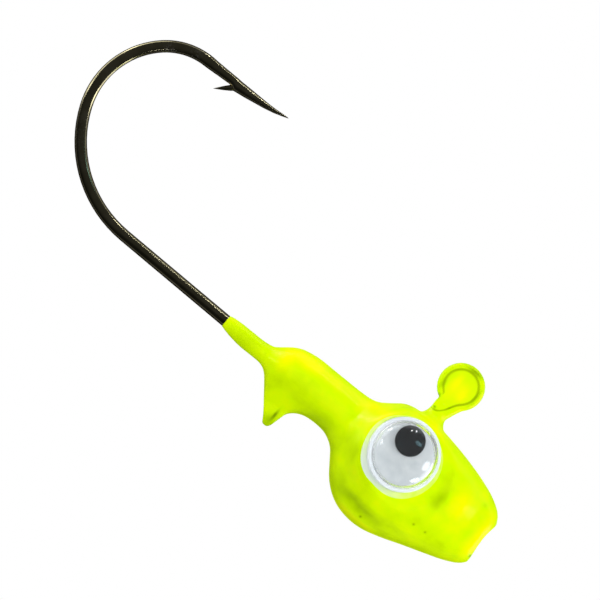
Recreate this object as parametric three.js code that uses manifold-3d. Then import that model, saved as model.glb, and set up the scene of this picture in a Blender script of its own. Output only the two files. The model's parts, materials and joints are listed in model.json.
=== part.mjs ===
// Painted jig head with a cast-in hook and a wiggle eye on each side. Millimetres and degrees.
// Origin: centre of the line-tie ring. +X: along the hook shank towards the nose. +Z: up, the side that
// the ring and the hook point are on. The hook lies in the XZ plane, and the head is symmetric about it.

import * as THREE from 'three';
import { mergeVertices } from 'three/addons/utils/BufferGeometryUtils.js';
import Module from 'manifold-3d';

// Hook: one wire, from its cut end round the line-tie ring to the point
const WIRE_D = 1.0;
const RING_WIRE_D = 0.72;        // the wire is drawn thinner round the ring
const RING_R = 1.45;             // centreline of the ring
const RING_SWEEP = 294;          // angle of the ring, from the neck to the cut end
const NECK_R = 1.5;              // bend between the ring and the stem
const NECK_TAPER = 2.2;          // length of stem over which the wire thickens
const SHANK_DROP = 8.0;          // ring centre to shank axis
const CORNER_R = 1.5;            // right-angle bend from stem to shank, inside the casting
const SHANK_REACH = 28.2;        // ring centre back to the start of the bend
const BEND = [                   // the bend tightens towards the point
  { radius: 9.7, turn: 67.4 },
  { radius: 6.7, turn: 69.4 },
  { radius: 5.4, turn: 43.2 },
];
const POINT_LAND = 3.5;          // straight wire between the bend and the spear
const SPEAR_LENGTH = 4.15;
const SPEAR_KICK = 0.6;          // how far the tip stands outside the wire's axis
const SPEAR_KNEE = 0.45;         // share of the spear's length to where its taper steepens
const SPEAR_KNEE_R = 0.3;
const SPEAR_KNEE_KICK = 0.25;
const TIP_D = 0.1;
const BARB_BACK = 1.9;           // barb tip behind the start of the spear's taper, along X
const BARB_LENGTH = 1.25;
const BARB_LIFT = 0.9;           // barb tip below the wire's surface
const BARB_T = 0.34;
const BARB_ROOT_AHEAD = 0.3;     // the barb's root inside the wire
const BARB_ROOT_BEHIND = 0.5;
const BARB_ROOT_DEPTH = 0.4;

// Casting: collar, head and keeper spur, all measured from the shank axis and the ring centre
const COLLAR_REAR = 13.15;       // behind the ring
const COLLAR_FRONT = 4.9;
const COLLAR_R = 2.02;
const COLLAR_RISE = 0.4;         // collar axis above the shank axis
const COLLAR_ROUND = 2.8;        // length of the rounded rear shoulder
const COLLAR_FULLNESS = 0.28;    // of the rear shoulder, 0 is a square corner
const TAIL_R = 0.78;             // where the lead ends on the shank
const CROWN_UP = 4.2;
const CROWN_BACK = 2.0;
const BELLY_DOWN = 5.65;
const BELLY_FORE = 0.3;
const BELLY_LEAD = 1.4;          // the belly starts to swell this far behind the collar's front
const CHEEK_HALF = 3.6;
const NOSE_X = 9.15;
const NOSE_UP = 1.5;
const NOSE_DOWN = 2.55;
const NOSE_HALF = 1.7;
const BROW_LEVEL = 3.49;         // heights that the outlines aim at as they fall to the nose
const JAW_LEVEL = 4.28;
const CHEEK_LEVEL = 2.98;
const SQUARENESS = 0.86;         // exponent of the head's rounded sections, 1 is an ellipse
const SPUR_BACK = 10.1;          // spur tip behind the ring
const SPUR_DROP = 4.1;           // spur tip below the shank axis
const SPUR_T = 1.5;
const SPUR_EDGE = 0.15;          // rounding of the spur's edges
const SPUR_LENGTH = 3.4;         // from the spur's tip forward to the collar's underside
const SPUR_TIP_HALF = 0.3;
const SPUR_TIP_ROUND = 0.1;
const SPUR_HOLLOW = { fore: 0.9, under: 0.2 };   // the concave front edge, from the tip and the floor
const SPUR_ROOT = 0.6;           // share of the collar's depth that the spur reaches up to

// Paint
const SEAM = 0.03;               // gap between pieces that lie against each other
const COAT_T = 0.15;             // from the metal's surface to the paint's surface
const RING_COAT_T = 0.18;
const FILM_T = 0.4;              // film that closes the ring
const SLEEVE_REACH = 17.7;       // rear end of the paint on the shank
const SLEEVE_D = 1.5;
const SLEEVE_LIP = 0.06;         // thickness of the paint's rear edge
const SLEEVE_SWELL = 0.6;        // share of the sleeve's length over which it thickens
const SLEEVE_OVERLAP = 0.6;      // reach of the sleeve inside the collar's coat
const FILLET_R = 1.45;           // paint and lead drawn up round the stem
const FILLET_UP = 0.95;
const FILLET_FOOT = 0.05;        // height of the fillet's foot above the crown
const FILLET_THROAT = 0.2;

// Wiggle eyes, measured along each eye's own axis from its seat
const EYE_X = -0.27;
const EYE_UP = 0.85;             // eye centre above the shank axis
const SEAT_SUNK = 0.5;           // seat below the fullest part of the cheek
const EYE_LEAN = { fore: 0.22, up: 0.17 };   // how far the axis leans, per unit outwards
const EYE_D = 6.0;
const SEAT_MARGIN = 0.5;         // seat radius past the eye's
const SEAT_SHIFT = 0.32;         // the adhesive bed stands further forward than the eye
const BOSS_MARGIN = 0.15;        // lead under the eye past its radius
const GLUE_T = 0.2;
const GLUE_RIM = 0.5;            // height of the adhesive round the backing
const BACK_T = 0.42;
const DOME_H = 1.85;
const DOME_T = 0.2;
const DOME_WALL = { reach: 0.99, height: 0.84 };   // how steep the wall is, 1 is square
const DOME_CROWN = 0.78;         // how flat the crown is, 1 is square
const FLANGE_T = 0.28;
const FLANGE_W = 0.28;
const PUPIL_D = 2.5;
const PUPIL_T = 0.32;
const PUPIL_ROOM = 0.1;          // between the pupil and the foot of the dome's wall
const PUPIL_PLAY = 0.06;         // between the pupil and the backing
const SIDES = [
  { name: 'right', out: -1, pupilAngle: 108 },
  { name: 'left', out: 1, pupilAngle: 76 },
];

// Fineness
const WIRE_SIDES = 10;
const ARC_STEP = 10;             // degrees of bend per wire section
const HEAD_SIDES = 24;
const HEAD_STATIONS = 28;
const ROUND_SIDES = 24;
const CURVE_POINTS = 5;          // per curve of a profile
const COARSE_POINTS = 3;
const OUTLINE_POINTS = 24;

const AXIS_Z = -SHANK_DROP;
const SEAT_OUT = CHEEK_HALF - SEAT_SUNK;
const SEAT_D = EYE_D + 2 * SEAT_MARGIN;
const BOSS_D = EYE_D + 2 * BOSS_MARGIN;
const PUPIL_ORBIT = EYE_D / 2 - FLANGE_W - DOME_T - PUPIL_ROOM - PUPIL_D / 2;
const DEG = Math.PI / 180;

const manifoldLibrary = await Module();
manifoldLibrary.setup();

// A manifold-3d solid from a closed geometry
function solid(geometry) {
  const bare = geometry.clone();
  bare.deleteAttribute('normal');
  bare.deleteAttribute('uv');
  const merged = mergeVertices(bare, 1e-5);
  return new manifoldLibrary.Manifold(new manifoldLibrary.Mesh({
    numProp: 3,
    vertProperties: new Float32Array(merged.attributes.position.array),
    triVerts: new Uint32Array(merged.index.array),
  }));
}

// The geometry of a manifold-3d solid
function geometryOf(body) {
  const mesh = body.getMesh();
  const geometry = new THREE.BufferGeometry();
  geometry.setAttribute('position', new THREE.BufferAttribute(mesh.vertProperties, mesh.numProp));
  geometry.setIndex(new THREE.BufferAttribute(mesh.triVerts, 1));
  geometry.computeVertexNormals();
  return geometry;
}

// A closed body through rings of points, each ring wound anticlockwise as seen from the first end
function loft(rings) {
  const count = rings[0].length;
  const positions = [];
  const index = [];
  const centreOf = (ring) => ring.reduce((sum, p) => sum.add(p), new THREE.Vector3()).divideScalar(count);
  for (const ring of rings) {
    ring.forEach((p) => positions.push(p.x, p.y, p.z));
  }
  const first = rings.length * count;
  const last = first + 1;
  for (const ring of [rings[0], rings[rings.length - 1]]) {
    const centre = centreOf(ring);
    positions.push(centre.x, centre.y, centre.z);
  }
  for (let k = 0; k < count; k += 1) {
    const next = (k + 1) % count;
    const end = (rings.length - 1) * count;
    index.push(first, k, next);
    index.push(last, end + next, end + k);
    for (let r = 0; r + 1 < rings.length; r += 1) {
      const a = r * count;
      const b = a + count;
      index.push(a + k, b + k, a + next);
      index.push(a + next, b + k, b + next);
    }
  }
  const geometry = new THREE.BufferGeometry();
  geometry.setAttribute('position', new THREE.Float32BufferAttribute(positions, 3));
  geometry.setIndex(index);
  return geometry;
}

// A pen that draws the wire's centreline in the XZ plane and notes the wire's radius as it goes
function wirePen(x, z, heading, radius) {
  const track = [{ x, z, heading, radius }];
  const here = () => track[track.length - 1];
  const pen = { track };
  pen.forward = (length, endRadius = here().radius, kick = 0) => {
    const from = here();
    const a = from.heading * DEG;
    track.push({
      x: from.x + length * Math.cos(a) - kick * Math.sin(a),
      z: from.z + length * Math.sin(a) + kick * Math.cos(a),
      heading: from.heading,
      radius: endRadius,
    });
    return pen;
  };
  // A positive turn is to the left
  pen.arc = (radius, turn) => {
    const steps = Math.max(2, Math.ceil(Math.abs(turn) / ARC_STEP));
    const from = here();
    const side = Math.sign(turn);
    const start = from.heading * DEG;
    const cx = from.x - side * radius * Math.sin(start);
    const cz = from.z + side * radius * Math.cos(start);
    for (let k = 1; k <= steps; k += 1) {
      const heading = from.heading + (turn * k) / steps;
      track.push({
        x: cx + side * radius * Math.sin(heading * DEG),
        z: cz - side * radius * Math.cos(heading * DEG),
        heading,
        radius: from.radius,
      });
    }
    return pen;
  };
  return pen;
}

// Where the neck leaves the ring, so that the stem comes out under the ring's centre
const NECK_TURN = Math.acos(NECK_R / (RING_R + NECK_R)) / DEG;
const NECK_Z = -(RING_R + NECK_R) * Math.sin(NECK_TURN * DEG);

function ringTrack() {
  const end = (RING_SWEEP - NECK_TURN) * DEG;
  const pen = wirePen(RING_R * Math.cos(end), RING_R * Math.sin(end), end / DEG - 90, RING_WIRE_D / 2);
  return pen.arc(RING_R, -RING_SWEEP).arc(NECK_R, NECK_TURN).forward(NECK_TAPER, WIRE_D / 2);
}

function hookTrack() {
  const stem = SHANK_DROP - CORNER_R + NECK_Z - NECK_TAPER;
  const pen = ringTrack().forward(stem).arc(CORNER_R, -90).forward(SHANK_REACH - CORNER_R);
  BEND.forEach((part) => pen.arc(part.radius, -part.turn));
  pen.forward(POINT_LAND);
  const spearStart = pen.track[pen.track.length - 1];
  pen.forward(SPEAR_LENGTH * SPEAR_KNEE, SPEAR_KNEE_R * WIRE_D, SPEAR_KNEE_KICK);
  pen.forward(SPEAR_LENGTH * (1 - SPEAR_KNEE), TIP_D / 2, SPEAR_KICK - SPEAR_KNEE_KICK);
  return { track: pen.track, spearStart };
}

// The wire along a track, grown all over by a coat or a gap
function wireSolid(track, grow) {
  const rings = track.map((station, at) => {
    const a = station.heading * DEG;
    const along = at === 0 ? -grow : at === track.length - 1 ? grow : 0;
    const ring = [];
    for (let k = 0; k < WIRE_SIDES; k += 1) {
      const phi = (2 * Math.PI * (k + 0.5)) / WIRE_SIDES;
      const reach = (station.radius + grow) * Math.cos(phi);
      ring.push(new THREE.Vector3(
        station.x + along * Math.cos(a) - reach * Math.sin(a),
        (station.radius + grow) * Math.sin(phi),
        station.z + along * Math.sin(a) + reach * Math.cos(a),
      ));
    }
    return ring;
  });
  return solid(loft(rings));
}

// The barb: a thin sliver lifted from the wire on the side towards the shank, its tip pointing back
function barb(spearStart) {
  const rootX = spearStart.x - BARB_BACK + BARB_LENGTH;
  const surface = spearStart.z - WIRE_D / 2;
  const shape = new THREE.Shape();
  shape.moveTo(rootX - BARB_LENGTH, surface - BARB_LIFT);
  shape.lineTo(rootX, surface + BARB_ROOT_DEPTH / 8);
  shape.lineTo(rootX + BARB_ROOT_AHEAD, surface + BARB_ROOT_DEPTH);
  shape.lineTo(rootX - BARB_ROOT_BEHIND, surface + BARB_ROOT_DEPTH);
  shape.closePath();
  return solid(plate(shape, BARB_T, 0));
}

// A flat plate from an outline in the XZ plane, centred on it, with its outline grown
function plate(shape, thickness, edge, grow = 0) {
  const geometry = new THREE.ExtrudeGeometry(shape, {
    depth: thickness + 2 * grow - 2 * edge,
    bevelEnabled: edge > 0,
    bevelThickness: edge,
    bevelSize: edge,
    bevelOffset: grow - edge,
    bevelSegments: 2,
    curveSegments: 5,
  });
  geometry.translate(0, 0, -(thickness + 2 * grow - 2 * edge) / 2);
  geometry.rotateX(Math.PI / 2);
  return geometry;
}

// Height of an outline, drawn from the tail to the nose, at one distance along it
function levelAt(points, x) {
  const next = points.findIndex((p) => p.x >= x);
  if (next <= 0) return next === 0 ? points[0].y : points[points.length - 1].y;
  const a = points[next - 1];
  const b = points[next];
  return THREE.MathUtils.mapLinear(x, a.x, b.x, a.y, b.y);
}

// One outline of the casting: rounded shoulder, straight collar, swell to the head, fall to the nose
function outline({ collar, collarFront, swell, full, fullX, fall, nose }) {
  const shoulder = -COLLAR_REAR + COLLAR_ROUND;
  const path = new THREE.Path();
  path.moveTo(-COLLAR_REAR, TAIL_R);
  path.quadraticCurveTo(-COLLAR_REAR + COLLAR_ROUND * COLLAR_FULLNESS, collar, shoulder, collar);
  path.lineTo(collarFront, collar);
  const run = fullX - collarFront;
  path.bezierCurveTo(collarFront + run * swell, collar, fullX - run * (1 - swell), full, fullX, full);
  const rest = NOSE_X - fullX;
  path.bezierCurveTo(fullX + rest * fall.hold, full, NOSE_X - rest * fall.back, fall.level, NOSE_X, nose);
  return path.getPoints(OUTLINE_POINTS);
}

const TOP_LINE = outline({
  collar: COLLAR_R + COLLAR_RISE,
  collarFront: -COLLAR_FRONT,
  swell: 0.48,
  full: CROWN_UP,
  fullX: -CROWN_BACK,
  fall: { hold: 0.46, back: 0.09, level: BROW_LEVEL },
  nose: NOSE_UP,
});
const BOTTOM_LINE = outline({
  collar: COLLAR_R - COLLAR_RISE,
  collarFront: -COLLAR_FRONT - BELLY_LEAD,
  swell: 0.34,
  full: BELLY_DOWN,
  fullX: BELLY_FORE,
  fall: { hold: 0.34, back: 0.38, level: JAW_LEVEL },
  nose: NOSE_DOWN,
});
const SIDE_LINE = outline({
  collar: COLLAR_R,
  collarFront: -COLLAR_FRONT,
  swell: 0.4,
  full: CHEEK_HALF,
  fullX: 0,
  fall: { hold: 0.38, back: 0.22, level: CHEEK_LEVEL },
  nose: NOSE_HALF,
});

// One cross-section of the casting, a rounded upright form
function headRing(x, up, down, half) {
  const ring = [];
  const middle = (up - down) / 2;
  for (let k = 0; k < HEAD_SIDES; k += 1) {
    const a = (2 * Math.PI * (k + 0.5)) / HEAD_SIDES;
    const round = (v) => Math.sign(v) * Math.abs(v) ** SQUARENESS;
    const z = AXIS_Z + middle + ((up + down) / 2) * round(Math.cos(a));
    ring.push(new THREE.Vector3(x, half * round(Math.sin(a)), z));
  }
  return ring;
}

function bodySolid(grow) {
  const rings = [];
  const length = NOSE_X + COLLAR_REAR;
  for (let k = 0; k <= HEAD_STATIONS; k += 1) {
    const x = -COLLAR_REAR + (length * k) / HEAD_STATIONS;
    const shift = k === 0 ? -grow : k === HEAD_STATIONS ? grow : 0;
    const [up, down, half] = [TOP_LINE, BOTTOM_LINE, SIDE_LINE].map((line) => levelAt(line, x) + grow);
    rings.push(headRing(x + shift, up, down, half));
  }
  return solid(loft(rings));
}

// The keeper spur under the collar that holds a soft bait on
function spurSolid(grow) {
  const shape = new THREE.Shape();
  const floor = AXIS_Z - (COLLAR_R - COLLAR_RISE);
  const root = AXIS_Z - (COLLAR_R - COLLAR_RISE) * SPUR_ROOT;
  const tipZ = AXIS_Z - SPUR_DROP;
  const frontX = -SPUR_BACK + SPUR_LENGTH;
  const tipFront = -SPUR_BACK + SPUR_TIP_HALF;
  const hollowX = -SPUR_BACK + SPUR_HOLLOW.fore;
  shape.moveTo(-COLLAR_REAR + SPUR_TIP_HALF, root);
  shape.lineTo(-SPUR_BACK - SPUR_TIP_HALF, tipZ + SPUR_TIP_ROUND);
  shape.quadraticCurveTo(-SPUR_BACK, tipZ - SPUR_TIP_ROUND, tipFront, tipZ + 2 * SPUR_TIP_ROUND);
  shape.quadraticCurveTo(hollowX, floor - SPUR_HOLLOW.under, frontX, floor + SPUR_TIP_ROUND);
  shape.lineTo(frontX, root);
  shape.closePath();
  return solid(plate(shape, SPUR_T, SPUR_EDGE, grow));
}

// The small cone of lead drawn up round the stem
function filletSolid(grow) {
  const top = AXIS_Z + CROWN_UP + FILLET_UP;
  const neck = WIRE_D / 2 + RING_COAT_T;
  const profile = new THREE.Path();
  profile.moveTo(0, AXIS_Z);
  profile.lineTo(FILLET_R + grow, AXIS_Z);
  const crown = AXIS_Z + CROWN_UP;
  profile.lineTo(FILLET_R + grow, crown + FILLET_FOOT);
  profile.quadraticCurveTo(neck + grow, crown + FILLET_THROAT, neck + grow, top + grow);
  profile.lineTo(0, top + grow);
  const geometry = new THREE.LatheGeometry(profile.getPoints(CURVE_POINTS), ROUND_SIDES);
  geometry.rotateX(Math.PI / 2);
  return solid(geometry);
}

// The eye's own frame: X forwards in the seat's plane, Z outwards along the eye's axis
function eyeMatrix(side) {
  const out = new THREE.Vector3(EYE_LEAN.fore, side.out, EYE_LEAN.up).normalize();
  const fore = new THREE.Vector3(1, 0, 0).addScaledVector(out, -out.x).normalize();
  const across = new THREE.Vector3().crossVectors(out, fore);
  const matrix = new THREE.Matrix4().makeBasis(fore, across, out);
  matrix.setPosition(EYE_X, side.out * SEAT_OUT, AXIS_Z + EYE_UP);
  return matrix;
}

function eyeCylinder(side, diameter, low, high, shift = 0) {
  const geometry = new THREE.CylinderGeometry(diameter / 2, diameter / 2, high - low, ROUND_SIDES);
  geometry.rotateX(Math.PI / 2);
  geometry.translate(shift, 0, (low + high) / 2);
  geometry.applyMatrix4(eyeMatrix(side));
  return solid(geometry);
}

// The casting's outside, grown by a gap or a coat: body, spur, stem fillet and the two eye seats
function headSolid(grow) {
  let head = bodySolid(grow).add(spurSolid(grow));
  for (const side of SIDES) {
    head = head.add(eyeCylinder(side, BOSS_D + 2 * grow, -SEAT_OUT / 2, grow, 0));
    head = head.subtract(eyeCylinder(side, SEAT_D - 2 * grow, grow, SEAT_D, SEAT_SHIFT));
  }
  return head.add(filletSolid(grow));
}

// The paint's sleeve on the bare shank
function sleeveSolid() {
  const profile = new THREE.Path();
  const tail = SLEEVE_REACH - COLLAR_REAR;
  const start = WIRE_D / 2 + SEAM + SLEEVE_LIP;
  const full = SLEEVE_D / 2;
  const fullX = -SLEEVE_REACH + tail * SLEEVE_SWELL;
  const front = -COLLAR_REAR + SLEEVE_OVERLAP;
  profile.moveTo(0, -SLEEVE_REACH);
  profile.lineTo(start, -SLEEVE_REACH);
  profile.quadraticCurveTo(full, -SLEEVE_REACH + (tail * SLEEVE_SWELL) / 2, full, fullX);
  profile.lineTo(full + SLEEVE_LIP, front);
  profile.lineTo(0, front);
  const geometry = new THREE.LatheGeometry(profile.getPoints(COARSE_POINTS), ROUND_SIDES);
  geometry.rotateZ(-Math.PI / 2);
  geometry.translate(0, 0, AXIS_Z);
  return solid(geometry);
}

// The film of paint across the line-tie ring
function filmSolid() {
  const geometry = new THREE.CylinderGeometry(RING_R, RING_R, FILM_T, ROUND_SIDES);
  return solid(geometry);
}

function hook() {
  const { track, spearStart } = hookTrack();
  return geometryOf(wireSolid(track, 0).add(barb(spearStart)));
}

function headCasting() {
  return geometryOf(headSolid(0).subtract(wireSolid(hookTrack().track, SEAM)));
}

function paintCoat() {
  const outside = headSolid(COAT_T)
    .add(wireSolid(ringTrack().track, RING_COAT_T))
    .add(filmSolid())
    .add(sleeveSolid());
  const inside = headSolid(SEAM).add(wireSolid(hookTrack().track, SEAM));
  return geometryOf(outside.subtract(inside));
}

// Heights along the eye's axis
const GLUE_LOW = COAT_T + SEAM;
const BACK_LOW = GLUE_LOW + GLUE_T + SEAM;
const DOME_LOW = BACK_LOW + BACK_T + SEAM;
const PUPIL_LOW = BACK_LOW + BACK_T + PUPIL_PLAY;

// The adhesive bed: fills the seat under the eye and stands up round the backing
function eyeGlue() {
  const bedR = SEAT_D / 2 - COAT_T - SEAM;
  const bed = new THREE.CylinderGeometry(bedR, bedR, GLUE_T + GLUE_RIM, ROUND_SIDES);
  bed.rotateX(Math.PI / 2);
  bed.translate(SEAT_SHIFT, 0, GLUE_LOW + (GLUE_T + GLUE_RIM) / 2);
  const hollowR = EYE_D / 2 + SEAM;
  const hollow = new THREE.CylinderGeometry(hollowR, hollowR, GLUE_RIM * 2, ROUND_SIDES);
  hollow.rotateX(Math.PI / 2);
  hollow.translate(0, 0, GLUE_LOW + GLUE_T + GLUE_RIM);
  return geometryOf(solid(bed).subtract(solid(hollow)));
}

function eyeBack() {
  const geometry = new THREE.CylinderGeometry(EYE_D / 2, EYE_D / 2, BACK_T, ROUND_SIDES);
  geometry.rotateX(Math.PI / 2);
  geometry.translate(0, 0, BACK_LOW + BACK_T / 2);
  return geometry;
}

// The clear dome: a flange round a thin shell that is open towards the backing
function eyeDome() {
  const outer = EYE_D / 2;
  const foot = outer - FLANGE_W;
  const inner = foot - DOME_T;
  const roof = DOME_H - DOME_T;
  const { reach, height } = DOME_WALL;
  const profile = new THREE.Path();
  profile.moveTo(0, roof);
  profile.bezierCurveTo(inner * DOME_CROWN, roof, inner * reach, roof * height, inner, 0);
  profile.lineTo(outer, 0);
  profile.lineTo(outer, FLANGE_T);
  profile.lineTo(foot, FLANGE_T);
  profile.bezierCurveTo(foot * reach, DOME_H * height, foot * DOME_CROWN, DOME_H, 0, DOME_H);
  const geometry = new THREE.LatheGeometry(profile.getPoints(CURVE_POINTS), ROUND_SIDES);
  geometry.rotateX(Math.PI / 2);
  geometry.translate(0, 0, DOME_LOW);
  return geometry;
}

function eyePupil(side) {
  const geometry = new THREE.CylinderGeometry(PUPIL_D / 2, PUPIL_D / 2, PUPIL_T, ROUND_SIDES);
  geometry.rotateX(Math.PI / 2);
  const a = -side.out * side.pupilAngle * DEG;
  geometry.translate(PUPIL_ORBIT * Math.cos(a), PUPIL_ORBIT * Math.sin(a), PUPIL_LOW + PUPIL_T / 2);
  return geometry;
}

function material(color, roughness, metalness, opacity = 1) {
  return new THREE.MeshStandardMaterial({ color, roughness, metalness, opacity, transparent: opacity < 1 });
}

const MATERIALS = {
  hook: material(0x2e2a1c, 0.25, 1.0),
  lead: material(0x8b8d90, 0.55, 1.0),
  paint: material(0xd3f406, 0.3, 0.0),
  white: material(0xe9eef2, 0.4, 0.0),
  clear: material(0xf4f8fa, 0.05, 0.0, 0.35),
  black: material(0x0b0b0c, 0.15, 0.0),
  glue: material(0xeef2b0, 0.2, 0.0, 0.6),
};

function piece(name, geometry, finish) {
  const mesh = new THREE.Mesh(geometry, finish);
  mesh.name = name;
  return mesh;
}

function eye(side) {
  const group = new THREE.Group();
  group.applyMatrix4(eyeMatrix(side));
  group.add(piece(`eye_glue_${side.name}`, eyeGlue(), MATERIALS.glue));
  group.add(piece(`eye_back_${side.name}`, eyeBack(), MATERIALS.white));
  group.add(piece(`eye_dome_${side.name}`, eyeDome(), MATERIALS.clear));
  group.add(piece(`eye_pupil_${side.name}`, eyePupil(side), MATERIALS.black));
  return group;
}

const jigHead = new THREE.Group();
jigHead.add(piece('hook', hook(), MATERIALS.hook));
jigHead.add(piece('head_casting', headCasting(), MATERIALS.lead));
jigHead.add(piece('paint_coat', paintCoat(), MATERIALS.paint));
SIDES.forEach((side) => jigHead.add(eye(side)));

export default jigHead;
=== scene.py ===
"""The looks of a painted jig head: bronzed hook, glossy chartreuse head, wiggle eyes.

Pieces are modelled in millimetres, with the ring's centre at the origin, and brought to metres when
they are done. X runs along the shank towards the nose and Z is up.
"""

import json
import math

import bpy
import numpy as np
from mathutils import Matrix, Vector


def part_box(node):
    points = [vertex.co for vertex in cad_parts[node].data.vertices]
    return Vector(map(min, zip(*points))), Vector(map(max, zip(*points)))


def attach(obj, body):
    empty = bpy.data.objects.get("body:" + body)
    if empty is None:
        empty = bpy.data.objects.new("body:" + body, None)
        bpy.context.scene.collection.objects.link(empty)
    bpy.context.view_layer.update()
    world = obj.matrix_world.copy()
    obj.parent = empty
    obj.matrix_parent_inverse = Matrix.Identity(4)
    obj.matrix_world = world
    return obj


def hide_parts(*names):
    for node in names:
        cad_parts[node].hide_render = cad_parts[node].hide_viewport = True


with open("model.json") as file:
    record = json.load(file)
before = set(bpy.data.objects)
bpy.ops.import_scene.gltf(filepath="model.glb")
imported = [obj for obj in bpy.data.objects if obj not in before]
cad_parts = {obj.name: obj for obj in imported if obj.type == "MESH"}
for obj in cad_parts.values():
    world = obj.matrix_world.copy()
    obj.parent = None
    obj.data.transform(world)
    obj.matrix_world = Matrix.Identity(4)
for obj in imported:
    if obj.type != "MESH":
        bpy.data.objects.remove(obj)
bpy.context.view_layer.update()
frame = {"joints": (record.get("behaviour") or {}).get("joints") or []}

MM = 0.001

# Hook wire
WIRE_R = 0.5
RING_WIRE_R = 0.36
RING_R = 1.45
RING_SWEEP = 294
NECK_R = 1.5
NECK_TURN = math.degrees(math.acos(NECK_R / (RING_R + NECK_R)))
NECK_TAPER = 2.2  # length over which the wire swells from the neck to the shank
CORNER_R = 1.5
BEND = ((9.7, 67.4), (6.7, 69.4), (5.4, 43.2))
WIRE_SIDES = 32
FORGED_T = 0.84  # thickness of the flattened bend, as a share of the wire
FORGED_FROM = 2.0  # the flattening starts this far ahead of the bend
FORGED_FULL = -2.5  # and is complete this far into it
# Point section beyond the bend: (length, wire radius at its end, sideways shift of the centre)
POINT = (
    (0.45, 0.475, 0.01),
    (1.0, 0.43, 0.04),
    (0.95, 0.4, 0.035),
    (0.15, 0.41, -0.01),
    (0.35, 0.505, -0.11),
    (1.05, 0.43, 0.09),
    (0.9, 0.345, 0.09),
    (0.8, 0.27, 0.08),
    (0.8, 0.19, 0.12),
    (0.6, 0.12, 0.13),
    (0.4, 0.065, 0.09),
    (0.2, 0.02, 0.04),
)
BARB_ROOT = (2.85, -0.25)  # ahead of the bend's end, and across the wire
BARB_TURN = 42
BARB_R = 0.25
BARB = ((0.35, 0.245), (0.6, 0.165), (0.77, 0.015))  # (length, radius at its end)

hook_low = Vector(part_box("hook")[0]) / MM
SHANK_Z = hook_low.z + WIRE_R
BEND_DEPTH = 9.94  # from the rear of the hook to where its bend starts
BEND_X = hook_low.x + BEND_DEPTH

# Painted head: (X from the ring, height above the shank, depth below it, half width)
PROFILE = (
    (-17.7, 0.53, 0.53, 0.53),
    (-17.3, 0.61, 0.63, 0.6),
    (-15.6, 0.7, 0.86, 0.74),
    (-14.0, 0.77, 0.84, 0.8),
    (-13.35, 0.92, 0.9, 0.9),
    (-12.85, 1.32, 1.15, 1.28),
    (-12.3, 1.78, 1.4, 1.68),
    (-11.6, 2.18, 1.62, 1.98),
    (-10.7, 2.41, 1.74, 2.12),
    (-8.0, 2.54, 1.77, 2.17),
    (-5.6, 2.6, 1.93, 2.2),
    (-4.9, 2.66, 2.38, 2.32),
    (-4.2, 2.88, 3.28, 2.58),
    (-3.4, 3.46, 4.3, 2.98),
    (-2.6, 4.08, 4.99, 3.32),
    (-1.8, 4.36, 5.44, 3.55),
    (-0.6, 4.42, 5.77, 3.72),
    (1.0, 4.42, 5.77, 3.76),
    (2.6, 4.2, 5.34, 3.62),
    (4.4, 3.84, 4.67, 3.3),
    (6.2, 3.36, 4.03, 2.86),
    (7.8, 2.74, 3.42, 2.38),
    (8.7, 2.14, 2.94, 2.08),
    (9.12, 1.66, 2.6, 1.9),
    (9.3, 1.36, 2.38, 1.74),
)
# Keeper spur: (Z, rear X, front X, half thickness)
SPUR = (
    (-8.4, -12.7, -7.4, 1.1),
    (-9.2, -12.66, -7.7, 1.45),
    (-9.76, -12.25, -8.25, 1.25),
    (-10.14, -11.92, -8.9, 1.0),
    (-10.54, -11.6, -9.26, 0.82),
    (-11.18, -11.08, -9.42, 0.72),
    (-11.7, -10.68, -9.54, 0.62),
    (-12.1, -10.42, -9.65, 0.5),
    (-12.35, -10.26, -9.85, 0.32),
)
# Cone round the stem: (rise, radius)
STEM = (
    (0.55, 1.45),
    (0.2, 1.16),
    (0.2, 0.98),
    (0.25, 0.86),
    (0.3, 0.78),
    (0.35, 0.72),
    (0.3, 0.67),
    (0.2, 0.6),
)
STEM_START = (0.02, 3.7, 1.7)  # X, height above the shank, radius
STEM_LEAN = 0.02  # sideways shift at each rise
# Paint inside the neck's bend: (length, radius at its end)
NECK_FILL = ((1.0, 0.5), (0.95, 0.62))
NECK_FILL_START = (1.05, -0.9, -117, 0.46)  # X, Z, heading, radius
HEAD_SIDES = 48
HEAD_STEPS = 70
SQUARENESS = 0.88
SQUARE_FROM = -6  # the sections turn squarer from this X forwards
SQUARE_OVER = 4
VOXEL = 0.1
PAINT_OVER_RING = 0.12
UNDER_PAINT = 0.2
COAT_RING_LAP = 4  # degrees the coat goes on past the ring's cut end
NOSE_DISH = 0.34
NOSE_DISH_X = (8.5, 9.15)
NOSE_DISH_Z = -8.2
NOSE_DISH_SPREAD = 1.35
LEAD_REAR = -13.15
FILM_T = 0.92
FILM_R = 1.42
FILM_DISH = 0.12
FILM_GROOVE = 0.08
GROOVE_W = 0.15
TAIL_AT = -106
TAIL_STRETCH = 1.03
TAIL_SPREAD = 26
REAR_TAIL_SPREAD = 9
# Heights between which the film, its groove, and the groove's rear side run out into the neck
FILM_FOOT = (-3.2, -2.8)
GROOVE_FOOT = (-3.0, -2.7)
REAR_GROOVE_FOOT = (-1.75, -1.3)
REAR_SIDE = (-8, 3)  # degrees from the tail over which the film's edge turns from rear to front
# Smoothing of the head where its forms join
MELT_HOLD = 1.6
LEAD_MELTING = 42
POLISH_IN = 0.7
POLISH_OUT = -0.72  # a little more than the way in, so that nothing shrinks
# How the folds of the surface are painted darker olive: painted shade in the creases
CREASE_SOFTENING = 12
CREASE_BLUR = 8
CREASE_FROM = 0.012
CREASE_RANGE = 0.09
FILM_GROOVE_SHADE = 0.95
# How much darker the cheek's hollows and lighter its swellings are painted: painted shade and painted
# highlight
MARK_LIGHT_AND_SHADE = 0.9

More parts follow.
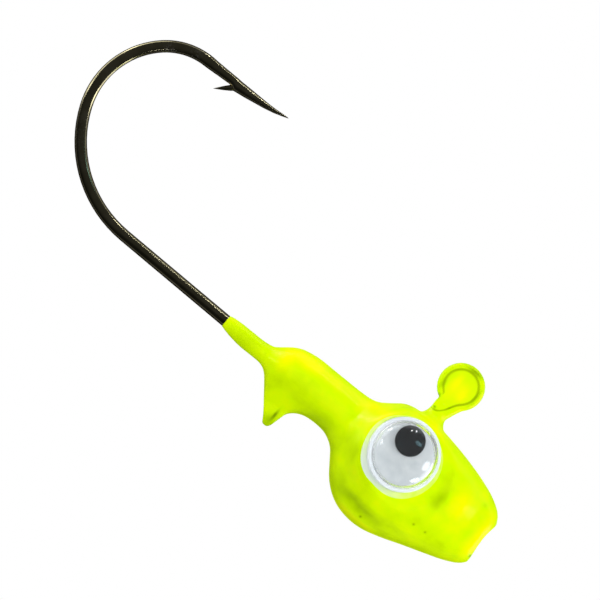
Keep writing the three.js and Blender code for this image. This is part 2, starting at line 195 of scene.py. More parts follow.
# Wiggle eye, measured along its own axis from its seat on the metal
EYE_R = 3.0
COAT_T = 0.15
SEAM = 0.03
GLUE_T = 0.2
GLUE_AT = math.radians(-10)
PALE_GLUE_AT = math.radians(-110)
BACK_T = 0.42
DOME_H = 1.85
DOME_T = 0.2
DOME_FULLNESS = 2.5  # 2 is an ellipse, higher is squarer
FLANGE_W = 0.28
PUPIL_R = 1.25
PUPIL_T = 0.32
PUPIL_PLAY = 0.06
PUPIL_EDGE = 0.07
BACK_EDGES = (0.08, 0.1)  # roundness of the backing's rim below and above
TRAY_R = 2.6
TRAY_DEPTH = 0.04
FLANGE_T = 0.28
FLANGE_EDGES = (0.06, 0.08)
GLUE_CLEAR = 0.03
# Squeezed-out adhesive, as shares of the full fillet: all round, in front, below, and its waves
GLUE_ROUND = 0.12
GLUE_FORE = 0.75
GLUE_BELOW = 0.2
GLUE_WAVES = 0.04
SEAT_SHIFT = 0.32
SEAT_EASE = 1.5
SEAT_DEPTH = (-2.8, -1.2)  # below the seat, where the pressing starts and where it is complete
ROUND_STEPS = 96


def deselect_all():
    if bpy.context.object and bpy.context.object.mode != "OBJECT":
        bpy.ops.object.mode_set(mode="OBJECT")
    bpy.ops.object.select_all(action="DESELECT")


def activate(*objects):
    deselect_all()
    for obj in objects:
        obj.select_set(True)
    bpy.context.view_layer.objects.active = objects[0]


def points_of(obj):
    points = np.empty(len(obj.data.vertices) * 3)
    obj.data.vertices.foreach_get("co", points)
    return points.reshape(-1, 3)


def move_points(obj, points):
    obj.data.vertices.foreach_set("co", points.ravel())
    obj.data.update()


def normals_of(obj):
    normals = np.empty(len(obj.data.vertices) * 3)
    obj.data.vertices.foreach_get("normal", normals)
    return normals.reshape(-1, 3)


def apply_modifier(obj, kind, **settings):
    activate(obj)
    modifier = obj.modifiers.new(kind.title(), kind)
    for key, value in settings.items():
        setattr(modifier, key, value)
    bpy.ops.object.modifier_apply(modifier=modifier.name)


def outward(obj):
    activate(obj)
    bpy.ops.object.mode_set(mode="EDIT")
    bpy.ops.mesh.select_all(action="SELECT")
    bpy.ops.mesh.remove_doubles(threshold=0.0005)
    bpy.ops.mesh.normals_make_consistent(inside=False)
    bpy.ops.object.mode_set(mode="OBJECT")


def finish_piece(obj, name, body, node, material, crease=35):
    """Brings a piece from millimetres to metres and hands it to the frame."""
    obj.name = name
    obj.data.name = name
    outward(obj)
    obj.data.transform(Matrix.Scale(MM, 4))
    obj.data.materials.clear()
    obj.data.materials.append(material)
    activate(obj)
    bpy.ops.object.shade_smooth_by_angle(angle=math.radians(crease))
    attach(obj, body)
    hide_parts(node)
    return obj


def write_values(obj, name, values):
    """Stores one number for each point, for a material to read."""
    obj.data.attributes.new(name, "FLOAT", "POINT").data.foreach_set("value", values)


# ---- wire: a disc of the wire's section, extruded along straights and spun round bends


class Wire:
    """Draws a wire in the XZ plane. The section at its free end stays selected in edit mode."""

    def __init__(self, x, z, heading, radius, sides=WIRE_SIDES):
        self.at = Vector((x, 0, z))
        self.heading = math.radians(heading)
        self.radius = radius
        turn = Matrix.Rotation(-self.heading, 4, "Y") @ Matrix.Rotation(math.pi / 2, 4, "Y")
        deselect_all()
        bpy.ops.mesh.primitive_circle_add(
            vertices=sides, radius=radius, fill_type="NGON", location=self.at, rotation=turn.to_euler()
        )
        self.obj = bpy.context.object
        bpy.ops.object.transform_apply(location=True, rotation=True, scale=True)
        bpy.ops.object.mode_set(mode="EDIT")
        bpy.ops.mesh.select_all(action="SELECT")

    def along(self):
        return Vector((math.cos(self.heading), 0, math.sin(self.heading)))

    def across(self):
        return Vector((-math.sin(self.heading), 0, math.cos(self.heading)))

    def forward(self, length, steps=1, radius=None, kick=0.0):
        """Straight on, with the end drawn to a new radius and shifted sideways by kick."""
        final = self.radius if radius is None else radius
        share = (final / self.radius) ** (1 / steps)
        step = self.along() * (length / steps) + self.across() * (kick / steps)
        for _ in range(steps):
            bpy.ops.mesh.extrude_region_move(TRANSFORM_OT_translate={"value": step})
            self.at += step
            if abs(share - 1) > 1e-6:
                bpy.ops.transform.resize(value=(share,) * 3, center_override=self.at)
        self.radius = final
        return self

    def bend(self, radius, degrees, per_step=4.0):
        """A bend of that radius, to the left for a positive turn."""
        side = math.copysign(1, degrees)
        centre = self.at + self.across() * radius * side
        steps = max(3, math.ceil(abs(degrees) / per_step))
        bpy.ops.mesh.spin(
            steps=steps, angle=math.radians(abs(degrees)), center=centre, axis=(0, side, 0)
        )
        turn = Matrix.Rotation(math.radians(degrees), 3, Vector((0, -1, 0)))
        self.at = centre + turn @ (self.at - centre)
        self.heading += math.radians(degrees)
        return self

    def done(self):
        bpy.ops.object.mode_set(mode="OBJECT")
        return self.obj


def ring_wire(grow, end_trim=0.0):
    """From the cut end round the line-tie ring and down the neck."""
    end = RING_SWEEP - NECK_TURN - end_trim
    at = math.radians(end)
    wire = Wire(RING_R * math.cos(at), RING_R * math.sin(at), end - 90, RING_WIRE_R + grow)
    wire.bend(RING_R, -(RING_SWEEP - end_trim)).bend(NECK_R, NECK_TURN)
    return wire


def forge_bend(obj):
    """Presses the sides of the bend flat, as the maker's hammer does, fading out into shank and point."""
    points = points_of(obj)
    x, y, _ = points.T
    ease = smoothstep(BEND_X + FORGED_FROM, BEND_X + FORGED_FULL, x)
    flat = WIRE_R * FORGED_T
    pressed = flat * np.tanh((np.abs(y) / flat) ** 3) ** (1 / 3) * np.sign(y)
    points[:, 1] = y + (pressed - y) * ease
    move_points(obj, points)


def barb(bend_end):
    """A sliver cut up from the wire, its tip pointing back towards the bend."""
    ahead, across = BARB_ROOT
    wire = Wire(bend_end.x + ahead, bend_end.z + across, 180 + BARB_TURN, BARB_R, sides=20)
    for length, radius in BARB:
        wire.forward(length, radius=radius)
    return wire.done()


def hook():
    wire = ring_wire(0.0)
    wire.forward(NECK_TAPER, steps=3, radius=WIRE_R)
    wire.forward(-SHANK_Z - CORNER_R + wire_drop())
    wire.bend(CORNER_R, -90)
    wire.forward(wire.at.x - BEND_X, steps=14)
    for radius, turn in BEND:
        wire.bend(radius, -turn)
    bend_end = wire.at.copy()
    for length, radius, kick in POINT:
        wire.forward(length, radius=radius, kick=kick)
    obj = wire.done()
    forge_bend(obj)
    sliver = barb(bend_end)
    outward(sliver)
    outward(obj)
    apply_modifier(obj, "BOOLEAN", operation="UNION", solver="EXACT", object=sliver)
    bpy.data.objects.remove(sliver)
    mark_rubbed(obj)
    return finish_piece(obj, "hook_wire", "jig", "hook", bronzed_wire())


# Places where the finish is rubbed: (X, Z), reach, amount
RUBBED = (
    ((-34.9, 5.6), 0.45, 0.9),
    ((-33.1, 6.7), 0.4, 0.9),
    ((-23.6, -7.9), 0.4, 0.7),
    ((-36.2, -4.4), 1.6, 0.35),
)


def mark_rubbed(obj):
    points = points_of(obj)
    amount = sum(share * spot(points, centre, (reach, reach)) for centre, reach, share in RUBBED)
    write_values(obj, "rubbed", amount)


def wire_drop():
    """Height of the neck's end above the ring's centre: it lies below, so this is negative."""
    return -(RING_R + NECK_R) * math.sin(math.radians(NECK_TURN)) - NECK_TAPER


# ---- painted head


def eased(points, x):
    """A smooth line through points sorted by their first value, never overshooting at the ends."""
    xs, ys = np.array(points).T
    slopes = np.gradient(ys, xs)
    k = np.clip(np.searchsorted(xs, x) - 1, 0, len(xs) - 2)
    span = xs[k + 1] - xs[k]
    t = np.clip((x - xs[k]) / span, 0, 1)
    return (
        (2 * t**3 - 3 * t**2 + 1) * ys[k]
        + (t**3 - 2 * t**2 + t) * span * slopes[k]
        + (3 * t**2 - 2 * t**3) * ys[k + 1]
        + (t**3 - t**2) * span * slopes[k + 1]
    )


def section(x):
    up, down, half = (eased([(row[0], row[k]) for row in PROFILE], x) for k in (1, 2, 3))
    return (up - down) / 2 + SHANK_Z, (up + down) / 2, half


def head_form():
    """The head, collar and sleeve: a disc extruded forwards and resized at each step."""
    xs = [row[0] for row in PROFILE]
    places = np.linspace(xs[0], xs[-1], HEAD_STEPS)
    middle, tall, half = section(places[0])
    deselect_all()
    bpy.ops.mesh.primitive_circle_add(
        vertices=HEAD_SIDES,
        radius=1,
        fill_type="NGON",
        location=(places[0], 0, middle),
        rotation=(0, math.pi / 2, 0),
    )
    obj = bpy.context.object
    bpy.ops.object.transform_apply(location=True, rotation=True, scale=True)
    bpy.ops.object.mode_set(mode="EDIT")
    bpy.ops.mesh.select_all(action="SELECT")
    bpy.ops.transform.resize(value=(1, half, tall), center_override=(places[0], 0, middle))
    for before, x in zip(places, places[1:]):
        new_middle, new_tall, new_half = section(x)
        step = (x - before, 0, new_middle - middle)
        bpy.ops.mesh.extrude_region_move(TRANSFORM_OT_translate={"value": step})
        size = (1, new_half / half, new_tall / tall)
        bpy.ops.transform.resize(value=size, center_override=(x, 0, new_middle))
        middle, tall, half = new_middle, new_tall, new_half
    bpy.ops.object.mode_set(mode="OBJECT")
    outward(obj)
    square_up(obj)
    return obj


def square_up(obj):
    """Fills out the sections of the head between the quarter points, which flattens its cheeks."""
    points = points_of(obj)
    middle, tall, half = section(points[:, 0])
    across = points[:, 1] / half
    above = (points[:, 2] - middle) / tall
    rim = np.hypot(across, above)
    fill = np.clip((points[:, 0] - SQUARE_FROM) / SQUARE_OVER, 0, 1) * (rim > 0.98)
    power = 1 + (SQUARENESS - 1) * fill
    points[:, 1] = half * np.sign(across) * np.abs(across) ** power
    points[:, 2] = middle + tall * np.sign(above) * np.abs(above) ** power
    move_points(obj, points)


def spur_form():
    """The keeper spur: a block extruded downwards and drawn in to its tip."""
    deselect_all()
    z, rear, front, half = SPUR[0]
    bpy.ops.mesh.primitive_cube_add(size=1, location=((rear + front) / 2, 0, z + 0.2))
    obj = bpy.context.object
    obj.data.transform(Matrix.Diagonal((front - rear, 2 * half, 0.4, 1)))
    bpy.ops.object.transform_apply(location=True, rotation=True, scale=True)
    for face in obj.data.polygons:
        face.select = face.normal.z < -0.9
    bpy.ops.object.mode_set(mode="EDIT")
    bpy.ops.mesh.select_mode(type="FACE")
    for before, after in zip(SPUR, SPUR[1:]):
        middle = (after[1] + after[2]) / 2
        step = (middle - (before[1] + before[2]) / 2, 0, after[0] - before[0])
        bpy.ops.mesh.extrude_region_move(TRANSFORM_OT_translate={"value": step})
        size = ((after[2] - after[1]) / (before[2] - before[1]), after[3] / before[3], 1)
        bpy.ops.transform.resize(value=size, center_override=(middle, 0, after[0]))
    bpy.ops.object.mode_set(mode="OBJECT")
    return obj


def stem_form():
    """Paint and lead drawn up round the stem in a small cone, up to the ring."""
    x, above, start_radius = STEM_START
    cone = Wire(x, SHANK_Z + above, 90, start_radius)
    for rise, radius in STEM:
        cone.forward(rise, radius=radius, kick=STEM_LEAN)
    return cone.done()


def neck_form():
    """Paint that fills the inside of the neck's bend, from the ring down to the cone."""
    fill = Wire(*NECK_FILL_START)
    for length, radius in NECK_FILL:
        fill.forward(length, radius=radius)
    return fill.done()


def film_form():
    """The film of paint that closes the ring, a teardrop drawn down to the neck, dished on both sides."""
    deselect_all()
    bpy.ops.mesh.primitive_cylinder_add(
        vertices=64, radius=FILM_R, depth=FILM_T, location=(0, 0, 0), rotation=(math.pi / 2, 0, 0)
    )
    disc = bpy.context.object
    bpy.ops.object.transform_apply(location=True, rotation=True, scale=True)
    points = points_of(disc)
    stretch = film_edge(points) / FILM_R
    points[:, 0] *= stretch
    points[:, 2] *= stretch
    move_points(disc, points)
    return disc


def film_edge(points):
    """Radius of the film's edge, in the direction of each point."""
    away = from_tail(points)
    spread = np.where(away < 0, REAR_TAIL_SPREAD, TAIL_SPREAD)
    return FILM_R * (1 + TAIL_STRETCH * np.exp(-((away / spread) ** 2)))


def from_tail(points):
    """Degrees round the ring from the film's tail, below zero on the rear side."""
    angle = np.degrees(np.arctan2(points[:, 2], points[:, 0]))
    return (angle - TAIL_AT + 180) % 360 - 180


def film_groove(points):
    """1 along the edge of the film, fading out to both sides of it and down the neck."""
    x, z = points[:, 0], points[:, 2]
    line = np.exp(-(((np.hypot(x, z) - film_edge(points)) / GROOVE_W) ** 2))
    rear = 1 - smoothstep(*REAR_SIDE, from_tail(points))
    low_rear = rear * (1 - smoothstep(*REAR_GROOVE_FOOT, z))
    return line * smoothstep(*GROOVE_FOOT, z) * (1 - low_rear)


def dish_film(points):
    """Sinks the film inside the ring and draws a groove along its edge."""
    radial = np.hypot(points[:, 0], points[:, 2])
    edge = film_edge(points)
    inside = np.clip(1 - (radial / edge) ** 2, 0, 1)
    groove = film_groove(points)
    sink = FILM_DISH * np.sqrt(inside) + FILM_GROOVE * groove
    near = smoothstep(*FILM_FOOT, points[:, 2])
    points[:, 1] -= np.sign(points[:, 1]) * np.minimum(sink * near, np.abs(points[:, 1]) * 0.6)
    return points


def seat_matrix(joint):
    """An eye's own frame in millimetres: X forwards in its seat's plane, Z outwards along its axis."""
    out = Vector(joint["axis"]).normalized()
    fore = (Vector((1, 0, 0)) - out * out.x).normalized()
    turn = Matrix((fore, out.cross(fore), out)).transposed().to_4x4()
    return Matrix.Translation(Vector(joint["pos_m"]) / MM) @ turn


def smoothstep(low, high, value):
    t = np.clip((value - low) / (high - low), 0, 1)
    return t * t * (3 - 2 * t)


def press_seat(points, matrix):
    """Flattens the paint to a round seat under an eye, easing into the cheek round it."""
    back = np.array(matrix.inverted())
    local = points @ back[:3, :3].T + back[:3, 3]
    near = smoothstep(*SEAT_DEPTH, local[:, 2])
    radial = np.hypot(local[:, 0] - SEAT_SHIFT * 0.5, local[:, 1])
    hold = (1 - smoothstep(EYE_R, EYE_R + SEAT_EASE, radial)) * near
    local[:, 2] += (COAT_T - local[:, 2]) * hold
    forward = np.array(matrix)
    return local @ forward[:3, :3].T + forward[:3, 3]


def spot(points, centre, spread):
    """A soft round spot seen from the side: 1 at its centre, fading out."""
    along = (points[:, 0] - centre[0]) / spread[0]
    above = (points[:, 2] - centre[1]) / spread[1]
    return np.exp(-(along**2) - above**2)


def dent(points, normals, centre, spread, depth, side):
    """Pushes the surface in (or out, for a negative depth) round a spot on one side of the head."""
    hold = spot(points, centre, spread) * smoothstep(0.0, 0.3, normals[:, 1] * side)
    return points - normals * (depth * hold)[:, None]


# Hollows and swellings of the cheeks: (X, Z), spread along X and Z, depth
CHEEK_MARKS = (
    ((4.4, -7.2), (0.6, 0.85), 0.34),
    ((5.9, -7.4), (0.85, 1.4), -0.42),
    ((7.5, -6.5), (0.5, 1.3), 0.1),
    ((8.6, -8.6), (0.5, 1.8), -0.16),
    ((-2.6, -11.6), (0.8, 0.9), 0.24),
    ((-1.1, -12.5), (1.2, 0.5), 0.24),
    ((0.9, -12.8), (1.4, 0.45), 0.2),
    ((2.8, -12.2), (1.3, 0.4), 0.12),
    ((-3.4, -10.2), (0.45, 1.0), 0.16),
    ((-4.5, -7.5), (0.5, 1.1), -0.2),
)
# Where the spur runs into the collar: (X, Z), reach
SPUR_MELTS = (
    ((-12.4, -8.9), (0.9, 0.6)),
    ((-11.4, -9.6), (1.2, 0.6)),
    ((-9.6, -9.9), (1.4, 0.45)),
    ((-8.0, -9.8), (1.2, 0.4)),
)
# Painted highlights (below zero, yellow) and painted shade (above zero, olive) on the paint, and a few
# dark specks in it: (X, Z), spread, amount
PAINTED_LIGHT_AND_SPECKS = (
    # Collar: painted highlights on its top and rear shoulder, painted shade low in front and at the
    # spur's tip and fold
    ((-12.0, -7.4), (0.7, 0.8), -0.7),
    ((-11.0, -6.3), (1.6, 0.6), -0.6),
    ((-8.5, -6.0), (2.5, 0.5), -0.3),
    ((-6.5, -9.2), (2.2, 0.6), 0.4),
    ((-11.0, -8.9), (1.6, 0.5), 0.2),
    ((-10.0, -11.9), (0.5, 0.5), 0.6),
    ((-9.9, -11.15), (0.12, 0.45), 1.2),
    # Head: painted highlights above the eye, on the cheek's swelling, along the nose and at the belly's
    # edge; painted shade in the hollow before the eye, on the snout and along the belly
    ((-3.5, -5.6), (1.2, 1.0), -0.7),
    ((0.5, -3.9), (1.5, 0.5), -0.6),
    ((5.6, -7.4), (0.7, 1.0), -0.6),
    ((8.6, -8.6), (0.5, 2.0), -0.6),
    ((4.4, -8.2), (0.5, 0.8), 0.6),
    ((7.45, -6.0), (0.25, 0.3), 0.35),
    ((0.5, -13.4), (3.0, 0.25), -0.4),
    ((0.0, -12.4), (3.0, 0.5), 0.35),
    # Small dark specks in the paint
    ((4.05, -10.75), (0.1, 0.1), 0.9),
    ((5.15, -10.65), (0.1, 0.1), 0.9),
    ((0.45, -13.0), (0.1, 0.1), 0.9),
    ((9.1, -9.8), (0.1, 0.15), 1.4),
    # Ring: painted shade along its crest and front edge, darker down its rear side, painted highlights on
    # the film and a lighter film overall
    ((0.2, 1.62), (1.0, 0.2), 0.9),
    ((1.45, 0.2), (0.16, 0.9), 0.6),
    ((-1.3, -0.7), (0.25, 0.5), 0.7),
    ((-0.98, -1.7), (0.2, 0.26), 1.3),
    ((-0.62, -2.55), (0.16, 0.12), 1.2),
    ((-0.5, 0.2), (0.3, 0.6), -0.5),
    ((0.5, -0.5), (0.35, 0.6), -0.5),
    ((-0.05, -0.4), (1.0, 1.2), -0.4),
)


def shape_cheeks(obj, seats):
    points = points_of(obj)
    for matrix in seats:
        points = press_seat(points, matrix)
    move_points(obj, dish_film(dish_nose(points)))
    for side in (-1, 1):
        for centre, spread, depth in CHEEK_MARKS:
            normals = normals_of(obj)
            move_points(obj, dent(points_of(obj), normals, centre, spread, depth, side))


def dish_nose(points):
    """Hollows the face of the nose between its top and bottom corners."""
    level = np.exp(-(((points[:, 2] - NOSE_DISH_Z) / NOSE_DISH_SPREAD) ** 2))
    hold = smoothstep(*NOSE_DISH_X, points[:, 0]) * level
    points[:, 0] -= NOSE_DISH * hold
    return points


def smooth(obj, rounds, factor=0.5):
    apply_modifier(obj, "SMOOTH", factor=factor, iterations=rounds)


def lead_body(seats):
    """The cast lead under the paint, cut square where the paint's sleeve goes on alone."""
    forms = [head_form(), spur_form()]
    activate(*forms)
    bpy.ops.object.join()
    obj = bpy.context.object
    apply_modifier(obj, "REMESH", mode="VOXEL", voxel_size=VOXEL * 1.5, adaptivity=0)
    smooth(obj, 4)
    melt(obj, SPUR_MELTS, LEAD_MELTING)
    shape_cheeks(obj, seats)
    move_points(obj, points_of(obj) - normals_of(obj) * UNDER_PAINT)
    activate(obj)
    bpy.ops.object.mode_set(mode="EDIT")
    bpy.ops.mesh.select_all(action="SELECT")
    bpy.ops.mesh.bisect(plane_co=(LEAD_REAR, 0, 0), plane_no=(1, 0, 0), use_fill=True, clear_inner=True)
    bpy.ops.object.mode_set(mode="OBJECT")
    return finish_piece(obj, "lead_body", "jig", "head_casting", cast_lead(), crease=60)


def paint_coat(seats):
    forms = [head_form(), spur_form(), stem_form(), film_form()]
    ring = ring_wire(PAINT_OVER_RING, end_trim=-COAT_RING_LAP)
    ring.forward(NECK_TAPER, steps=2, radius=WIRE_R + PAINT_OVER_RING)
    forms.append(ring.done())
    forms.append(neck_form())
    for form in forms:
        outward(form)
    activate(*forms)
    bpy.ops.object.join()
    obj = bpy.context.object
    apply_modifier(obj, "REMESH", mode="VOXEL", voxel_size=VOXEL, adaptivity=0)
    smooth(obj, 5)
    melt(obj, SPUR_MELTS)
    shape_cheeks(obj, seats)
    smooth(obj, 2)
    polish(obj)
    write_painted_light_and_specks(obj)
    return finish_piece(obj, "paint_skin", "jig", "paint_coat", chartreuse_paint(), crease=60)


def edge_ends(mesh):
    edges = np.empty(len(mesh.edges) * 2, dtype=np.int64)
    mesh.edges.foreach_get("vertices", edges)
    return edges.reshape(-1, 2).T


def spread_out(values, a, b, rounds):
    """Averages a value at each point with its neighbours along the edges, over and over."""
    size = len(values)
    count = np.bincount(a, minlength=size) + np.bincount(b, minlength=size)
    for _ in range(rounds):
        total = values.copy()
        for k in range(values.shape[1]):
            total[:, k] += np.bincount(a, values[b, k], size) + np.bincount(b, values[a, k], size)
        values = total / (count + 1)[:, None]
    return values


def polish(obj, rounds=8):
    """Takes the grain off a surface without drawing it in."""
    points = points_of(obj)
    a, b = edge_ends(obj.data)
    for _ in range(rounds):
        for push in (POLISH_IN, POLISH_OUT):
            points = points + (spread_out(points, a, b, 1) - points) * push
    move_points(obj, points)


def melt(obj, places, rounds=90):
    """Melts the surface together round some places, so that forms joined there flow into one another."""
    points = points_of(obj)
    a, b = edge_ends(obj.data)
    near = sum(spot(points, centre, reach) for centre, reach in places)
    hold = np.clip(near * MELT_HOLD, 0, 1)[:, None]
    for _ in range(rounds // 3):
        points += (spread_out(points, a, b, 3) - points) * hold
    move_points(obj, points)


def write_painted_light_and_specks(obj):
    """Writes how deep each point lies in a crease, for painted shade (olive) there, and the painted
    highlights, painted shade and specks of the table and the cheek marks.
    """
    a, b = edge_ends(obj.data)
    points = points_of(obj)
    normals = normals_of(obj)
    soft = spread_out(points, a, b, CREASE_SOFTENING)
    level = ((soft - points) * normals).sum(axis=1)
    level = spread_out(level[:, None], a, b, CREASE_BLUR)[:, 0]
    folds = (level - CREASE_FROM) / CREASE_RANGE
    crease = np.clip(folds + FILM_GROOVE_SHADE * film_groove(points), 0, 1)
    light_shade_and_specks = np.zeros(len(points))
    for centre, spread, amount in PAINTED_LIGHT_AND_SPECKS:
        light_shade_and_specks += amount * spot(points, centre, spread)
    # Painted shade in the cheek's hollows and painted highlight on its swellings
    for centre, spread, depth in CHEEK_MARKS:
        light_shade_and_specks += MARK_LIGHT_AND_SHADE * depth * spot(points, centre, spread)
    write_values(obj, "crease", crease)
    write_values(obj, "light_shade_and_specks", light_shade_and_specks)


# ---- wiggle eyes


def turned(profile, steps=ROUND_STEPS):
    """A round piece: a profile of (radius, height) spun about Z and closed at its poles."""
    mesh = bpy.data.meshes.new("turned")
    mesh.from_pydata([(r, 0, h) for r, h in profile], [(k, k + 1) for k in range(len(profile) - 1)], [])
    obj = bpy.data.objects.new("turned", mesh)
    bpy.context.scene.collection.objects.link(obj)
    activate(obj)
    bpy.ops.object.mode_set(mode="EDIT")
    bpy.ops.mesh.select_all(action="SELECT")
    bpy.ops.mesh.spin(steps=steps, angle=2 * math.pi, center=(0, 0, 0), axis=(0, 0, 1))
    bpy.ops.object.mode_set(mode="OBJECT")
    outward(obj)
    return obj


def corner(centre, radius, start, end, steps=6):
    """Points of a rounded corner, by angle in degrees, in a profile."""
    angles = np.radians(np.linspace(start, end, steps))
    return [(centre[0] + radius * math.cos(t), centre[1] + radius * math.sin(t)) for t in angles]


def bezier(a, b, c, d, steps=18):
    t = np.linspace(0, 1, steps)[:, None]
    a, b, c, d = (np.array(p) for p in (a, b, c, d))
    line = (1 - t) ** 3 * a + 3 * (1 - t) ** 2 * t * b + 3 * (1 - t) * t**2 * c + t**3 * d
    return [tuple(p) for p in line]


GLUE_LOW = COAT_T + SEAM
BACK_LOW = GLUE_LOW + GLUE_T + SEAM
DOME_LOW = BACK_LOW + BACK_T + SEAM
PUPIL_LOW = BACK_LOW + BACK_T + PUPIL_PLAY


def eye_back():
    low, high = BACK_LOW, BACK_LOW + BACK_T
    under, over = BACK_EDGES
    rim = corner((EYE_R - under, low + under), under, -90, 0)
    rim += corner((EYE_R - over, high - over), over, 0, 90)
    tray = high - TRAY_DEPTH
    face = [(TRAY_R, high), (2.45, high - 0.03), (1.2, tray), (0, tray)]
    obj = turned([(0, low), (1.5, low)] + rim + face)
    points = points_of(obj)
    # The backing's face inside the rim is painted grey as shade under the dome; the rim stays white
    bright = smoothstep(2.4, TRAY_R, np.hypot(points[:, 0], points[:, 1]))
    write_values(obj, "rim", bright)
    return obj


def dome_profile(inset):
    """The dome's outline from its crown down to its foot, drawn in by inset."""
    reach, rise = EYE_R - FLANGE_W - inset, DOME_H - inset
    turn = np.radians(np.linspace(0, 88, 30))
    power = 2 / DOME_FULLNESS
    return [(reach * math.sin(t) ** power, DOME_LOW + rise * math.cos(t) ** power) for t in turn]


def eye_dome():
    low = DOME_LOW
    foot = EYE_R - FLANGE_W
    inner = dome_profile(DOME_T) + [(foot - DOME_T, low)]
    under, over = FLANGE_EDGES
    flange = corner((EYE_R - under, low + under), under, -90, 0, 4)
    flange += corner((EYE_R - over, low + FLANGE_T - over), over, 0, 90, 5)
    obj = turned(inner + flange + [(foot + 0.05, low + FLANGE_T)] + dome_profile(0)[::-1])
    points = points_of(obj)
    frost = smoothstep(foot - 0.12, foot + 0.04, np.hypot(points[:, 0], points[:, 1]))
    write_values(obj, "frost", frost)
    return obj


def eye_pupil():
    low, high = PUPIL_LOW, PUPIL_LOW + PUPIL_T
    edge = PUPIL_EDGE
    rim = corner((PUPIL_R - edge, low + edge), edge, -90, 0, 5)
    rim += corner((PUPIL_R - edge, high - edge - 0.03), edge, 0, 75, 5)
    crown = [(PUPIL_R * 0.8, high - 0.015), (PUPIL_R * 0.45, high), (0, high)]
    return turned([(0, low), (0.7, low)] + rim + crown)


def eye_glue(up):
    """Adhesive squeezed out round the backing, widest in front and a little below."""
    low = GLUE_LOW - 0.1
    rise = BACK_LOW + BACK_T * 0.75
    inner = EYE_R + GLUE_CLEAR
    top = GLUE_LOW + GLUE_T
    fillet = bezier(
        (EYE_R + 1.0, low), (EYE_R + 0.6, low + 0.14), (EYE_R + 0.14, rise - 0.2), (inner, rise), 12
    )
    inside = [(inner, top), (1.5, top), (0, top)]
    obj = turned([(0, low), (1.5, low), (EYE_R, low)] + fillet + inside)
    points = points_of(obj)
    radial = np.hypot(points[:, 0], points[:, 1])
    angle = np.arctan2(points[:, 1] * up, points[:, 0])
    toward = np.clip(np.cos(angle - GLUE_AT), 0, 1) ** 1.5
    pale = np.clip(np.cos(angle - PALE_GLUE_AT), 0, 1) ** 1.5
    beyond = np.clip(radial - EYE_R - GLUE_CLEAR, 0, 2)
    waves = GLUE_WAVES * np.sin(5 * angle)
    target = inner + beyond * (GLUE_ROUND + GLUE_FORE * toward + GLUE_BELOW * pale + waves)
    scale = np.where(beyond > 0, target / np.maximum(radial, 0.1), 1)
    points[:, 0] *= scale
    points[:, 1] *= scale
    move_points(obj, points)
    write_values(obj, "pale", pale * (1 - toward))
    return obj


def eye(side, joint):
    matrix = seat_matrix(joint)
    up = math.copysign(1, matrix[2][1])
    pupil_low, pupil_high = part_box(f"eye_pupil_{side}")
    pupil_at = matrix.inverted() @ ((Vector(pupil_low) + Vector(pupil_high)) / 2 / MM)
    for name, make, body, slot, finish in (
        ("glue", eye_glue, "jig", "adhesive", clear_adhesive),
        ("back", eye_back, "jig", "eye_white", white_sheet),
        ("dome", eye_dome, "jig", "eye_clear", clear_plastic),
        ("pupil", eye_pupil, f"pupil_{side}", "eye_black", black_disc),
    ):
        obj = make(up) if name == "glue" else make()
        if name == "pupil":
            obj.data.transform(Matrix.Translation((pupil_at.x, pupil_at.y, 0)))
        obj.data.transform(matrix)
        finish_piece(obj, f"{side}_eye_{name}", body, f"eye_{name}_{side}", finish())
        if name == "dome":
            obj.visible_shadow = False
            obj.visible_diffuse = False


# ---- materials


BLACK = (0, 0, 0)
WHITE = (1, 1, 1)


def material(name):
    """A material with its Principled shader, made once."""
    made = bpy.data.materials.get(name)
    if made:
        return made, None
    made = bpy.data.materials.new(name)
    made.use_nodes = True
    return made, made.node_tree.nodes["Principled BSDF"]


def add(mat, kind, **inputs):
    node = mat.node_tree.nodes.new(kind)
    for key, value in inputs.items():
        key = key.replace("_", " ")
        if key in node.inputs:
            node.inputs[key].default_value = value
    return node


def link(mat, output, target):
    mat.node_tree.links.new(output, target)


def in_millimetres(mat):
    """Object coordinates scaled so that one unit of a pattern is one millimetre."""
    coords = add(mat, "ShaderNodeTexCoord")
    mapping = add(mat, "ShaderNodeMapping")
    mapping.inputs["Scale"].default_value = (1 / MM,) * 3
    link(mat, coords.outputs["Object"], mapping.inputs["Vector"])
    return mapping.outputs["Vector"]


def noise_pattern(mat, place, scale, detail=3.0, rough=0.5):
    pattern = add(mat, "ShaderNodeTexNoise", Scale=scale, Detail=detail, Roughness=rough)
    link(mat, place, pattern.inputs["Vector"])
    return pattern.outputs["Fac"]


def stored(mat, name):
    """The numbers written on a piece under that name."""
    node = add(mat, "ShaderNodeAttribute")
    node.attribute_name = name
    return node.outputs["Fac"]


def scale_and_add(mat, value, factor, plus):
    """The node that works out value * factor + plus."""
    node = add(mat, "ShaderNodeMath")
    node.operation = "MULTIPLY_ADD"
    node.inputs[1].default_value = factor
    link(mat, value, node.inputs[0])
    link(mat, plus, node.inputs[2])
    return node


def product(mat, a, b):
    node = add(mat, "ShaderNodeMath")
    node.operation = "MULTIPLY"
    link(mat, a, node.inputs[0])
    link(mat, b, node.inputs[1])
    return node.outputs[0]


def ramp(mat, value, stops):
    node = add(mat, "ShaderNodeValToRGB")
    link(mat, value, node.inputs["Fac"])
    elements = node.color_ramp.elements
    while len(elements) < len(stops):
        elements.new(0.5)
    for element, (at, colour) in zip(elements, stops):
        element.position = at
        element.color = (*colour, 1) if len(colour) == 3 else colour
    return node.outputs["Color"]


def levels(mat, value, low, high):
    """A value brought to the range low to high."""
    node = add(mat, "ShaderNodeMapRange", To_Min=low, To_Max=high)
    link(mat, value, node.inputs["Value"])
    return node.outputs["Result"]


